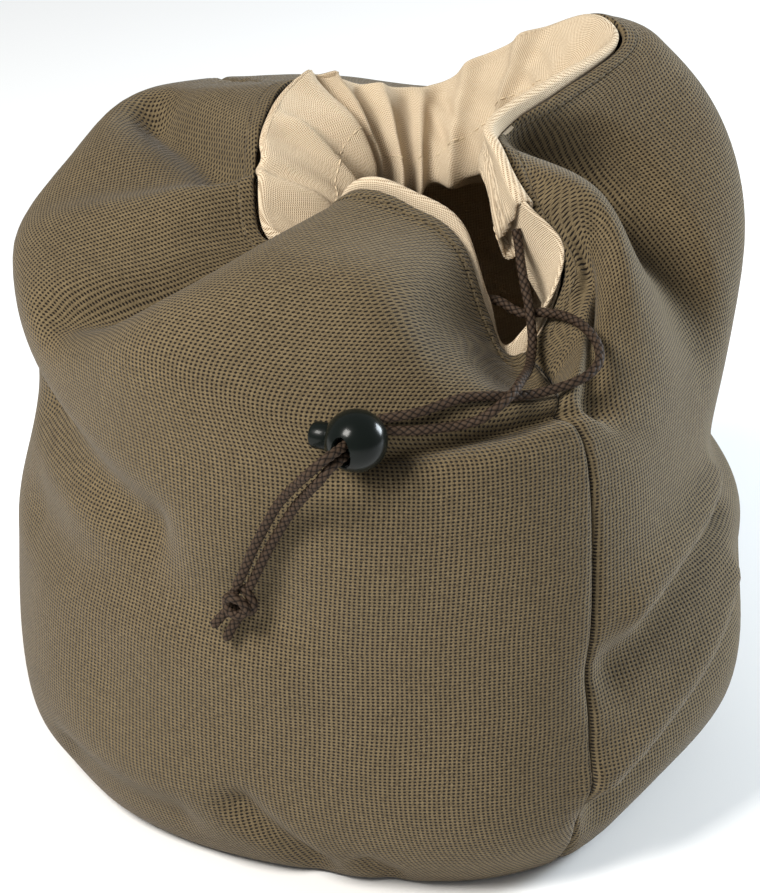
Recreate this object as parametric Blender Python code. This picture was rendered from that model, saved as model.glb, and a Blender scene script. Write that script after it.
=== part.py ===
"""Lined bread bag of coarse cloth, standing filled and loosely drawn shut.

Frame: +Z up, the bag stands on z = 0, and the viewer who sees the cord lock looks along +Y.
Azimuth is measured round the bag from the front (-Y), positive towards +X.
The tables below are in millimetres and degrees, and every object is made in metres.
"""

import math

import bmesh
import bpy
import numpy as np
from mathutils import Matrix, Vector

MM = 0.001

# Cloth thicknesses, mm
OUTER_CLOTH = 1.7
LINING_CLOTH = 1.0
CASING_CLOTH = 1.0

# Clearances that pieces keep from each other, mm
BASE_GAP = 1.3
LINING_GAP = 0.6

# Height shares of the rings: under, foot, corner, belly, waist, shoulder, crown, rim
RING_PLACES = (-0.05, 0.0, 0.065, 0.31, 0.55, 0.67, 0.86, 1.0)

# The lowest rings, mm
CORNER_RADIUS = 12.0
CORNER_HEIGHT = 13.0
BELLY_HEIGHT = 80.0

# The wall below the shoulder, one row for each station, going left round the bag from the side seam
# azimuth, radius at the corner above the floor, at the belly, at the waist, height of the waist
WALL = (
    (31.0, 115.0, 122.0, 116.0, 152.0),
    (16.0, 115.0, 121.0, 117.0, 154.0),
    (-5.0, 109.0, 119.0, 117.0, 152.0),
    (-22.0, 108.0, 118.0, 117.0, 151.0),
    (-40.0, 111.0, 118.0, 116.0, 148.0),
    (-60.0, 114.0, 120.0, 114.0, 142.0),
    (-90.0, 114.0, 120.0, 112.0, 138.0),
    (-150.0, 112.0, 118.0, 113.0, 142.0),
    (-205.0, 112.0, 118.0, 113.0, 140.0),
    (-250.0, 113.0, 118.0, 110.0, 124.0),
    (-274.0, 112.0, 117.0, 106.0, 114.0),
    (-292.0, 108.0, 118.0, 107.0, 122.0),
    (-310.0, 108.0, 120.0, 110.0, 138.0),
)

# The folds of the mouth, one row for each crest or valley, going left round the bag from the side seam
# name, azimuth on the wall, shoulder x y z, crown x y z, rim x y z, foot of the casing x y z,
# stand of the casing past the rim
FOLDS = (
    ("side seam notch", 31.0, (53, -97, 165), (49, -74, 163), (42, -62, 167), (43, -69, 158), 4),
    ("notch left edge", 18.0, (30, -104, 164), (21, -87, 178), (31, -58, 176), (29, -66, 164), 6),
    ("front lobe", 4.0, (8, -108, 165), (5, -90, 196), (23, -52, 197), (20, -57, 177), 5),
    ("lobe crest", -14.0, (-22, -107, 167), (-17, -84, 202), (8, -47, 207), (8, -50, 182), 4),
    ("lobe ridge", -40.0, (-74, -84, 177), (-46, -64, 197), (-12, -38, 206), (-8, -40, 181), 3),
    ("front valley", -54.0, (-96, -58, 166), (-55, -40, 176), (-21, -25, 186), (-15, -27, 168), 2),
    ("left bulge", -70.0, (-110, -35, 170), (-68, -30, 184), (-38, -20, 186), (-22, -19, 169), 1),
    ("left roll", -84.0, (-117, -10, 176), (-68, -14, 197), (-41, -10, 201), (-21, -9, 184), 0),
    ("roll crease", -96.0, (-116, 8, 178), (-64, -1, 197), (-42, -3, 201), (-18, 0, 180), 0),
    ("collar valley", -110.0, (-106, 32, 184), (-67, 20, 204), (-39, 12, 210), (-16, 11, 186), -1),
    ("left lobe crest", -126.0, (-91, 60, 190), (-70, 48, 207), (-32, 34, 215), (-13, 26, 190), -1),
    ("back seam", -148.0, (-60, 90, 188), (-44, 62, 206), (-18, 44, 213), (-6, 35, 184), -1),
    ("back left dip", -170.0, (-20, 106, 184), (-10, 78, 200), (-4, 50, 207), (4, 39, 180), 1),
    ("back dip", -192.0, (24, 106, 182), (20, 82, 194), (18, 54, 203), (17, 40, 182), 5),
    ("back right", -214.0, (62, 92, 188), (46, 78, 211), (37, 50, 217), (32, 39, 184), 4),
    ("right peak", -242.0, (102, 54, 188), (76, 50, 230), (67, 34, 239), (44, 31, 191), 0),
    ("peak corner", -264.0, (115, 10, 178), (89, 22, 228), (73, 18, 233), (49, 18, 190), 1),
    ("right wall", -278.0, (109, -16, 160), (76, 3, 212), (53, -2, 226), (47, 3, 192), 4),
    ("right valley", -292.0, (98, -38, 150), (66, 2, 196), (36, -18, 220), (41, -9, 194), 5),
    ("right ridge", -306.0, (82, -66, 164), (65, -45, 209), (38, -30, 214), (41, -23, 196), 6),
    ("ridge foot", -314.0, (73, -80, 159), (61, -50, 201), (44, -42, 202), (43, -37, 187), 7),
    ("small valley", -320.0, (63, -90, 159), (62, -60, 188), (54, -50, 189), (50, -50, 176), 7),
    ("notch right edge", -325.0, (58, -94, 164), (57, -70, 176), (49, -57, 174), (47, -57, 165), 6),
)

# Soft creases in the cloth: troughs, or ridges where the depth is below zero
# name, start azimuth and height share, end azimuth and height share, half width, depth
CREASES = (
    ("ledge under the lobe", (-4.0, 0.58), (29.0, 0.66), 10.0, 6.0),
    ("foot of the collar", (-96.0, 0.92), (-123.0, 0.83), 10.0, 8.0),
    ("left overhang", (-76.0, 0.53), (-40.0, 0.45), 12.0, 7.0),
    ("left diagonal", (-72.0, 0.38), (-18.0, 0.39), 15.0, 3.5),
    ("right upper ridge", (70.0, 0.50), (40.0, 0.36), 8.0, -3.0),
    ("right upper diagonal", (72.0, 0.42), (36.0, 0.30), 10.0, 5.0),
    ("right lower ridge", (68.0, 0.30), (34.0, 0.17), 8.0, -3.0),
    ("right lower diagonal", (84.0, 0.24), (36.0, 0.11), 10.0, 5.0),
    ("front tuck", (-23.0, 0.14), (-12.0, 0.04), 6.0, 5.0),
    ("small front tuck", (-3.0, 0.06), (1.0, 0.03), 5.0, 3.0),
    ("left corner tuck", (-60.0, 0.10), (-36.0, 0.09), 9.0, 4.0),
    ("pocket by the rim", (55.0, 0.96), (51.0, 0.87), 9.0, 2.0),
    ("pocket below", (50.0, 0.84), (40.0, 0.81), 9.0, 3.0),
)

# Pleats of the lining and casing, pressed further into the mouth than the outer cloth
# name, start azimuth and height share, end azimuth and height share, half width, depth
PLEATS = (
    ("pleat at the roll", (-98.0, 1.0), (-98.0, 0.90), 9.0, 3.0),
    ("left pleat", (-128.0, 1.0), (-124.0, 0.88), 11.0, 6.0),
    ("back pleat", (-168.0, 1.0), (-164.0, 0.86), 11.0, 7.0),
    ("back right pleat", (-205.0, 1.0), (-200.0, 0.88), 10.0, 4.0),
)

# Lengths that turn azimuth and height share into distances along the cloth
CREASE_GIRTH = 700.0
CLOTH_HEIGHT = 270.0

# Where the way inwards is read round each point, in shares of the girth and of the height
SPREAD_ACROSS = (-0.045, -0.03, -0.015, 0.0, 0.015, 0.03, 0.045)
SPREAD_UP = (-0.06, -0.03, 0.0, 0.03, 0.06)

# Columns of the cloth solids: the fewest from one fold to the next, and their widest step in degrees
FEWEST_STEPS = 3
WIDEST_STEP = 6.0

# Height shares of the cloth solids' rows
LOW_ROWS = (0.0, 0.03, 0.065, 0.12, 0.18, 0.24, 0.31, 0.38, 0.44)
HIGH_ROWS = (0.5, 0.55, 0.59, 0.63, 0.67, 0.71, 0.76, 0.81, 0.86)
TOP_ROWS = (0.91, 0.96, 1.0)
CASING_ROWS = (0.86, 0.91, 0.96, 1.0)

# Height shares between which the lining parts from the outer cloth
LINING_PARTS = (0.67, 0.76)

# Azimuth of the seam at the back, and the gap between the two outer panels at both seams
BACK_SEAM = -148.0
SEAM_GAP = 0.6

# The casing runs round the mouth from the left edge of the notch to its right edge, azimuths
CASING_ENDS = (15.0, -314.0)
CASING_LIFT = 3.6
CASING_LIFT_LENGTH = 14.0

# The cord and its lock ball; the ball's hole and its plunger cross at a right angle
CORD_DIAMETER = 3.0
CORD_STEP = 4.0
BALL_RADIUS = 9.25
BALL_CENTRE = (-8.5, -120.4, 165.7)
HOLE_AXIS = (-0.493, -0.868, -0.056)
HOLE_HALF_WIDTH = 2.4
HOLE_HALF_HEIGHT = 4.3
PLUNGER_AXIS = (-0.86, 0.4956, -0.1067)
PLUNGER_RADIUS = 4.0
PLUNGER_INNER = 5.3
PLUNGER_TIP = 14.2
PLUNGER_TRAVEL = 3.0
BORE_CLEARANCE = 0.3

# The knot that joins the two strands above their free ends
KNOT_CENTRE = (-43.0, -112.7, 108.2)
KNOT_RADII = (5.2, 3.9, 4.6)

# Routes of the strands, x y z
UPPER_STRAND = (
    (30.5, -50.8, 177.7),
    (32.6, -51.2, 178.5),
    (35.4, -53.2, 178.4),
    (38.6, -56.2, 177.5),
    (42.0, -58.4, 177.0),
    (47.0, -59.9, 178.2),
    (51.5, -62.6, 178.9),
    (56.3, -68.0, 179.4),
    (60.3, -73.9, 178.5),
    (62.8, -79.6, 176.4),
    (63.0, -84.2, 173.9),
    (60.4, -88.0, 171.7),
    (56.2, -90.6, 170.2),
    (50.5, -92.0, 168.6),
    (44.0, -94.4, 168.0),
    (37.0, -97.8, 168.8),
    (30.0, -101.0, 170.4),
    (22.6, -103.4, 171.0),
    (15.8, -106.6, 170.2),
    (9.5, -109.2, 169.2),
    (3.4, -110.4, 168.5),
    (-1.6, -110.9, 167.8),
    (-4.2, -112.9, 167.5),
    (-8.5, -120.4, 167.4),
    (-13.1, -128.4, 167.0),
    (-16.6, -132.0, 166.0),
    (-20.8, -131.8, 162.0),
    (-25.5, -127.2, 155.0),
    (-30.5, -122.0, 146.6),
    (-34.8, -118.6, 137.2),
    (-39.0, -116.1, 127.0),
    (-42.0, -114.2, 118.8),
    (-43.9, -113.1, 114.2),
)
LOWER_STRAND = (
    (39.5, -42.5, 198.0),
    (40.3, -44.5, 194.0),
    (40.9, -50.0, 190.0),
    (41.9, -56.0, 185.3),
    (43.0, -60.4, 180.9),
    (43.7, -64.0, 176.4),
    (44.0, -67.0, 172.6),
    (43.6, -71.5, 169.6),
    (42.3, -80.5, 169.2),
    (39.9, -92.4, 171.6),
    (36.9, -101.8, 171.8),
    (32.6, -106.2, 169.4),
    (27.0, -106.8, 165.6),
    (21.0, -107.4, 164.0),
    (14.5, -109.3, 164.0),
    (8.5, -110.7, 164.1),
    (3.0, -111.1, 164.2),
    (-1.5, -111.0, 164.3),
    (-4.2, -112.9, 164.2),
    (-8.5, -120.4, 163.9),
    (-13.1, -128.4, 163.5),
    (-15.7, -131.6, 162.6),
    (-18.9, -131.4, 158.4),
    (-22.4, -126.6, 152.0),
    (-26.4, -122.4, 144.9),
    (-29.6, -119.8, 138.2),
    (-32.4, -118.0, 132.3),
    (-35.6, -116.2, 125.0),
    (-38.4, -114.4, 117.8),
    (-40.2, -113.6, 113.8),
)
UPPER_END = ((-46.5, -110.3, 104.6), (-49.1, -108.8, 100.8), (-51.6, -108.0, 97.2))
LOWER_END = ((-43.4, -110.8, 102.6), (-45.7, -110.0, 98.0), (-47.8, -109.7, 93.4))


def hermite(places, values, at, period=None):
    """Cubic curves through values at places, read at the points at; closed if a period is given."""
    places = np.asarray(places, float)
    values = np.asarray(values, float)
    if period is not None:
        places = np.concatenate([places[-2:] - period, places, places[:3] + period])
        values = np.concatenate([values[-2:], values, values[:3]])
    shape = (-1, *[1] * (values.ndim - 1))
    steps = np.diff(places)
    slopes = np.diff(values, axis=0) / steps.reshape(shape)
    before, after = steps[:-1].reshape(shape), steps[1:].reshape(shape)
    middle = (slopes[:-1] * after + slopes[1:] * before) / (before + after)
    tangents = np.concatenate([slopes[:1], middle, slopes[-1:]])
    at = np.asarray(at, float)
    if period is not None:
        at = np.mod(at, period)
    i = np.clip(np.searchsorted(places, at, side="right") - 1, 0, len(steps) - 1)
    h = steps[i].reshape(shape)
    t = ((at - places[i]) / steps[i]).reshape(shape)
    return (
        (2 * t**3 - 3 * t**2 + 1) * values[i]
        + (t**3 - 2 * t**2 + t) * h * tangents[i]
        + (3 * t**2 - 2 * t**3) * values[i + 1]
        + (t**3 - t**2) * h * tangents[i + 1]
    )


def around(azimuth):
    """The share of the way round the bag, left from the side seam, of a wall azimuth in degrees."""
    return (FOLDS[0][1] - azimuth) / 360.0


def wall_rings(shares):
    """Under, foot, corner, belly and waist rings at shares of the way round, in mm."""
    stations = [around(row[0]) for row in WALL]
    corner, belly, waist, height = hermite(stations, [row[1:] for row in WALL], shares, 1.0).T
    angle = np.radians(FOLDS[0][1] - 360.0 * np.asarray(shares))
    out = np.stack([np.sin(angle), -np.cos(angle)], axis=1)

    def ring(radius, z):
        return np.column_stack([out * radius[:, None], np.broadcast_to(z, radius.shape)])

    return [
        ring(corner - 2 * CORNER_RADIUS, 0.0),
        ring(corner - CORNER_RADIUS, 0.0),
        ring(corner, CORNER_HEIGHT),
        ring(belly, BELLY_HEIGHT),
        ring(waist, height),
    ]


def net(shares, heights):
    """The smooth outer face in mm, before its creases: rows go by height, columns go round."""
    places = [around(row[1]) for row in FOLDS]
    rings = wall_rings(places) + [np.array([row[k] for row in FOLDS], float) for k in (2, 3, 4)]
    fine = np.stack([hermite(places, ring, shares, 1.0) for ring in rings])
    return hermite(RING_PLACES, fine, heights)


def curtain_net(shares, heights):
    """The smooth net of the lining inside the mouth: shoulder, foot of the casing and rim, in mm."""
    places = [around(row[1]) for row in FOLDS]
    rings = [np.array([row[k] for row in FOLDS], float) for k in (2, 5, 4)]
    fine = np.stack([hermite(places, ring, shares, 1.0) for ring in rings])
    return hermite(RING_PLACES[-3:], fine, heights)


def crease_depth(creases, shares, heights):
    """How far the creases press the cloth inwards at each point of the grid, in mm."""
    depth = np.zeros((len(heights), len(shares)))
    for _, start, end, half_width, most in creases:
        first = np.array([around(start[0]) * CREASE_GIRTH, start[1] * CLOTH_HEIGHT])
        run = np.array([around(end[0]) * CREASE_GIRTH, end[1] * CLOTH_HEIGHT]) - first
        for turn in (-1, 0, 1):
            x = (np.asarray(shares)[None, :] + turn) * CREASE_GIRTH - first[0]
            y = np.asarray(heights)[:, None] * CLOTH_HEIGHT - first[1]
            along = np.clip((x * run[0] + y * run[1]) / (run @ run), 0.0, 1.0)
            away = np.hypot(x - along * run[0], y - along * run[1])
            depth += most * np.exp(-((away / half_width) ** 2))
    return depth


def inward(shares, heights, form):
    """The unit normals of a smooth net, pointing into the bag."""
    step = 0.002
    low, high = np.maximum(heights - step, RING_PLACES[0]), np.minimum(heights + step, 1.0)
    left = form(shares + step, heights) - form(shares - step, heights)
    normals = np.cross(left, form(shares, high) - form(shares, low))
    return normals / np.linalg.norm(normals, axis=2, keepdims=True)


def cloth(shares, heights, inset=0.0, creases=CREASES, form=net):
    """Points in mm of a net with its creases, or of a face that lies inset mm further into the bag.

    The way inwards is averaged over the cloth near each point, so that tight folds stay clear inside.
    """
    shares, heights = np.asarray(shares, float), np.asarray(heights, float)
    way = sum(
        inward(shares + across, np.clip(heights + up, 0.0, 1.0), form)
        for across in SPREAD_ACROSS
        for up in SPREAD_UP
    )
    way /= np.linalg.norm(way, axis=2, keepdims=True)
    depth = crease_depth(creases, shares, heights) + inset
    points = form(shares, heights) + way * depth[..., None]
    points[..., 2] = np.maximum(points[..., 2], np.min(inset))
    return points


def lining_cloth(shares, heights, inset):
    """Points in mm of a lining face: along the outer cloth to the shoulder, then hanging in the mouth."""
    outer = cloth(shares, heights, inset, CREASES + PLEATS)
    curtain = cloth(shares, heights, inset, PLEATS, curtain_net)
    low, high = LINING_PARTS
    left = np.clip((np.asarray(heights) - low) / (high - low), 0.0, 1.0)
    share = (left * left * (3.0 - 2.0 * left)).reshape(-1, 1, 1)
    return (1.0 - share) * outer + share * curtain


def stand_past_rim(points, shares):
    """Move the last row of a grid of lining points as far past the rim as the fold table says."""
    stand = hermite([around(row[1]) for row in FOLDS], [row[6] for row in FOLDS], shares, 1.0)
    way = points[-1] - points[-2]
    way /= np.linalg.norm(way, axis=1, keepdims=True)
    return np.concatenate([points[:-1], (points[-1] + way * stand[:, None])[None]])


def material(name, colour, roughness):
    """A plain Principled material."""
    made = bpy.data.materials.new(name)
    made.use_nodes = True
    shader = made.node_tree.nodes["Principled BSDF"]
    shader.inputs["Base Color"].default_value = (*colour, 1.0)
    shader.inputs["Roughness"].default_value = roughness
    return made


def add_object(name, data, look):
    """Link an object made from data, which may be a mesh or a curve, with its own material."""
    made = bpy.data.objects.new(name, data)
    bpy.context.scene.collection.objects.link(made)
    data.materials.append(look)
    return made


def mesh_object(name, body, look):
    """Turn a bmesh into a smooth shaded object with its faces pointing outwards."""
    bmesh.ops.recalc_face_normals(body, faces=body.faces)
    mesh = bpy.data.meshes.new(name)
    body.to_mesh(mesh)
    body.free()
    mesh.shade_smooth()
    mesh.set_sharp_from_angle(angle=math.radians(40.0))
    return add_object(name, mesh, look)


def layers_to_solid(name, outer, inner, look, closed_round=False, floor=False):
    """A sheet of cloth between two grids of points in mm; with floor, a bottom closes the lowest row.

    Every cell is split along the same diagonal, so that sheets one inside the other stay clear.
    """
    body = bmesh.new()
    rows, columns = outer.shape[:2]
    grids = [[[body.verts.new(point * MM) for point in row] for row in grid] for grid in (outer, inner)]
    spans = range(columns if closed_round else columns - 1)
    for i in spans:
        k = (i + 1) % columns
        for grid in grids:
            for below, above in zip(grid, grid[1:]):
                body.faces.new((below[i], below[k], above[k]))
                body.faces.new((below[i], above[k], above[i]))
        for j in (rows - 1,) if floor else (0, rows - 1):
            body.faces.new((grids[0][j][i], grids[0][j][k], grids[1][j][k], grids[1][j][i]))
    if not closed_round:
        for j in range(rows - 1):
            for i in (0, columns - 1):
                body.faces.new((grids[0][j][i], grids[0][j + 1][i], grids[1][j + 1][i], grids[1][j][i]))
    if floor:
        for grid in grids:
            body.faces.new(grid[0])
    return mesh_object(name, body, look)


def all_shares():
    """The column shares once round the bag: a few even steps from each fold to the next."""
    azimuths = [row[1] for row in FOLDS]
    shares = []
    for here, after in zip(azimuths, azimuths[1:] + [azimuths[0] - 360.0]):
        steps = max(FEWEST_STEPS, math.ceil((here - after) / WIDEST_STEP))
        shares.extend(around(azimuth) for azimuth in np.linspace(here, after, steps + 1)[:-1])
    return np.array(shares)


def side_panel(name, first, last, look):
    """One of the two outer panels, from seam to seam and from the base to the rim."""
    columns = all_shares()
    shares = np.array([first, *columns[(columns > first) & (columns < last)], last])
    half_gap = 0.5 * SEAM_GAP / CREASE_GIRTH
    shares[0] += half_gap
    shares[-1] -= half_gap
    heights = LOW_ROWS + HIGH_ROWS + TOP_ROWS
    return layers_to_solid(name, cloth(shares, heights), cloth(shares, heights, OUTER_CLOTH), look)


def base_panel(look):
    """The flat round base that the side panels are sewn to."""
    edge = cloth(all_shares(), [0.0])[0]
    edge[:, :2] *= 1.0 - BASE_GAP / np.linalg.norm(edge[:, :2], axis=1, keepdims=True)
    body = bmesh.new()
    face = body.faces.new([body.verts.new((x * MM, y * MM, 0.0)) for x, y, _ in edge])
    raised = bmesh.ops.extrude_face_region(body, geom=[face], use_keep_orig=True)["geom"]
    upper = [item for item in raised if isinstance(item, bmesh.types.BMVert)]
    bmesh.ops.translate(body, verts=upper, vec=(0.0, 0.0, OUTER_CLOTH * MM))
    return mesh_object("base_panel", body, look)


def lining(look):
    """The whole inner bag, a little inside the outer panels, standing past the rim as the casing does."""
    shares = all_shares()
    inset = OUTER_CLOTH + LINING_GAP
    heights = LOW_ROWS + HIGH_ROWS + TOP_ROWS
    grids = [
        stand_past_rim(lining_cloth(shares, heights, depth), shares)
        for depth in (inset, inset + LINING_CLOTH)
    ]
    return layers_to_solid("lining", *grids, look, closed_round=True, floor=True)


def casing(look):
    """The band inside the mouth that holds the cord, lifted off the lining at its two open ends."""
    first, last = around(CASING_ENDS[0]), around(CASING_ENDS[1])
    columns = all_shares()
    shares = np.array([first, *columns[(columns > first) & (columns < last)], last])
    from_end = np.minimum(shares - shares[0], shares[-1] - shares) * CREASE_GIRTH
    lift = CASING_LIFT * np.clip(1.0 - from_end / CASING_LIFT_LENGTH, 0.0, 1.0)
    inset = OUTER_CLOTH + LINING_GAP + LINING_CLOTH + LINING_GAP + lift
    grids = [
        stand_past_rim(lining_cloth(shares, CASING_ROWS, depth[None, :]), shares)
        for depth in (inset, inset + CASING_CLOTH)
    ]
    return layers_to_solid("drawcord_casing", *grids, look)


def strand(name, route, look):
    """A round cord along a smooth curve through its route."""
    route = np.array(route, float)
    lengths = np.linalg.norm(np.diff(route, axis=0), axis=1)
    places = np.concatenate([[0.0], np.cumsum(lengths)])
    count = max(4, int(round(places[-1] / CORD_STEP)) + 1)
    points = hermite(places, route, np.linspace(0.0, places[-1], count))
    curve = bpy.data.curves.new(name, "CURVE")
    curve.dimensions = "3D"
    curve.bevel_depth = 0.5 * CORD_DIAMETER * MM
    curve.bevel_resolution = 2
    curve.use_fill_caps = True
    spline = curve.splines.new("POLY")
    spline.points.add(count - 1)
    for target, point in zip(spline.points, points):
        target.co = (*(point * MM), 1.0)
    return add_object(name, curve, look)


def aim(axis, centre, along=0.0):
    """A placement whose z axis follows the axis, its origin a distance in mm along it."""
    way = Vector(axis).normalized()
    turn = way.to_track_quat("Z", "Y").to_matrix().to_4x4()
    return Matrix.Translation((Vector(centre) + way * along) * MM) @ turn


def cutter_object(name, body):
    """A tool body for a boolean, which isn't part of the model."""
    made = mesh_object(name, body, bpy.data.materials.new(name))
    made.hide_render = True
    made.display_type = "WIRE"
    return made


def hole_cutter():
    """The oval bore through the ball in which the two strands lie one above the other."""
    way = Vector(HOLE_AXIS).normalized()
    side = Vector(PLUNGER_AXIS)
    side = (side - way * side.dot(way)).normalized()
    turn = Matrix((side, way.cross(side), way)).transposed().to_4x4()
    body = bmesh.new()
    depth = 3 * BALL_RADIUS * MM
    bmesh.ops.create_cone(body, cap_ends=True, segments=24, radius1=1.0, radius2=1.0, depth=depth)
    bmesh.ops.scale(body, verts=body.verts, vec=(HOLE_HALF_WIDTH * MM, HOLE_HALF_HEIGHT * MM, 1.0))
    place = Matrix.Translation(Vector(BALL_CENTRE) * MM) @ turn
    bmesh.ops.transform(body, verts=body.verts, matrix=place)
    return cutter_object("hole_cutter", body)


def bore_cutter():
    """The blind bore that the plunger slides in, deep enough for its whole travel."""
    floor = PLUNGER_INNER - PLUNGER_TRAVEL - BORE_CLEARANCE
    depth = 2 * BALL_RADIUS
    radius = (PLUNGER_RADIUS + BORE_CLEARANCE) * MM
    size = {"radius1": radius, "radius2": radius, "depth": depth * MM}
    body = bmesh.new()
    bmesh.ops.create_cone(body, cap_ends=True, segments=24, **size)
    place = aim(PLUNGER_AXIS, BALL_CENTRE, floor + depth / 2)
    bmesh.ops.transform(body, verts=body.verts, matrix=place)
    return cutter_object("bore_cutter", body)


def lock_ball(look):
    """The ball of the cord lock, with its cord hole and the bore of its plunger."""
    body = bmesh.new()
    bmesh.ops.create_uvsphere(body, u_segments=24, v_segments=14, radius=BALL_RADIUS * MM)
    bmesh.ops.transform(body, verts=body.verts, matrix=aim(HOLE_AXIS, BALL_CENTRE))
    ball = mesh_object("lock_ball", body, look)
    for cutter in (hole_cutter(), bore_cutter()):
        cut = ball.modifiers.new(cutter.name, "BOOLEAN")
        cut.operation = "DIFFERENCE"
        cut.object = cutter
    return ball


def lock_plunger(look):
    """The sprung button that stands out of the ball."""
    length = PLUNGER_TIP - PLUNGER_INNER
    radius = PLUNGER_RADIUS * MM
    size = {"radius1": radius, "radius2": radius, "depth": length * MM}
    body = bmesh.new()
    bmesh.ops.create_cone(body, cap_ends=True, segments=24, **size)
    rim = [edge for edge in body.edges if all(vert.co.z > 0 for vert in edge.verts)]
    bmesh.ops.bevel(body, geom=rim, offset=1.0 * MM, segments=3, profile=0.5, affect="EDGES")
    made = mesh_object("lock_plunger", body, look)
    made.matrix_world = aim(PLUNGER_AXIS, BALL_CENTRE, PLUNGER_INNER + length / 2)
    return made


def cord_knot(look):
    """The tight knot of both strands, as one lumpy body."""
    body = bmesh.new()
    bmesh.ops.create_icosphere(body, subdivisions=2, radius=1.0)
    for vert in body.verts:
        lump = 1.0 + 0.12 * math.sin(3.0 * math.atan2(vert.co.y, vert.co.x)) * (1.0 - vert.co.z**2)
        vert.co = Vector([co * lump * radius * MM for co, radius in zip(vert.co, KNOT_RADII)])
    bmesh.ops.translate(body, verts=body.verts, vec=Vector(KNOT_CENTRE) * MM)
    return mesh_object("cord_knot", body, look)


def build():
    """Make every piece of the bag."""
    for old in list(bpy.data.objects):
        bpy.data.objects.remove(old)
    front_cloth = material("front_cloth", (0.13, 0.10, 0.06), 0.9)
    back_cloth = material("back_cloth", (0.13, 0.10, 0.06), 0.9)
    side_panel("front_panel", 0.0, around(BACK_SEAM), front_cloth)
    side_panel("back_panel", around(BACK_SEAM), 1.0, back_cloth)
    base_panel(material("base_cloth", (0.12, 0.09, 0.055), 0.9))
    lining(material("lining_cloth", (0.58, 0.46, 0.30), 0.85))
    casing(material("casing_cloth", (0.60, 0.48, 0.32), 0.85))
    strand("cord_upper", UPPER_STRAND, material("cord_upper_braid", (0.05, 0.035, 0.025), 0.7))
    strand("cord_lower", LOWER_STRAND, material("cord_lower_braid", (0.05, 0.035, 0.025), 0.7))
    strand("cord_end_upper", UPPER_END, material("cord_end_upper_braid", (0.05, 0.035, 0.025), 0.7))
    strand("cord_end_lower", LOWER_END, material("cord_end_lower_braid", (0.05, 0.035, 0.025), 0.7))
    cord_knot(material("knot_braid", (0.05, 0.035, 0.025), 0.7))
    lock_ball(material("lock_ball_plastic", (0.012, 0.014, 0.013), 0.2))
    lock_plunger(material("plunger_plastic", (0.012, 0.014, 0.013), 0.25))


build()
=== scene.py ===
import math

import bmesh
import bpy
import numpy as np
from mathutils import Matrix, Vector


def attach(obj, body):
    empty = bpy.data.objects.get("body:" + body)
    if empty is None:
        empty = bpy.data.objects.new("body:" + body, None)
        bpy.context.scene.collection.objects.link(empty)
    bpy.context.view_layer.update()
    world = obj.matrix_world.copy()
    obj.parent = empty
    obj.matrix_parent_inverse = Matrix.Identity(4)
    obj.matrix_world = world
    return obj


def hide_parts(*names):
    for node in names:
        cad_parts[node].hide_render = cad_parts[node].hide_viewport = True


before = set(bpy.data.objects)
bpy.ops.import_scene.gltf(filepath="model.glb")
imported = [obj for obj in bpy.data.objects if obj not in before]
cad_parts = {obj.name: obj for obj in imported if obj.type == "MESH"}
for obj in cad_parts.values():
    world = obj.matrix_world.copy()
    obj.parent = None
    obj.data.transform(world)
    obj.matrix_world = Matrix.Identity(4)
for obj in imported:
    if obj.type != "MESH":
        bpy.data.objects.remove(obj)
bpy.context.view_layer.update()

# Camera
# The photograph was taken from straight in front of the cord lock, about a metre away and from a
# little above the mouth, with the long side of the picture upright.
PIXELS_PER_METRE = 3050.0
PICTURE_HEIGHT = 893
VIEW_TILT = math.radians(27.0)
VIEW_DISTANCE = 1.05
VIEW_CENTRE = Vector((-0.0016, 0.0, 0.1025))
SENSOR = 36.0

camera_data = bpy.data.cameras.new("camera")
camera_data.sensor_width = SENSOR
camera_data.lens = SENSOR * VIEW_DISTANCE * PIXELS_PER_METRE / PICTURE_HEIGHT
camera = bpy.data.objects.new("camera", camera_data)
bpy.context.scene.collection.objects.link(camera)
away = Vector((0.0, -math.cos(VIEW_TILT), math.sin(VIEW_TILT)))
camera.location = VIEW_CENTRE + away * VIEW_DISTANCE
camera.rotation_euler = (math.pi / 2 - VIEW_TILT, 0.0, 0.0)
bpy.context.scene.camera = camera

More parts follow.
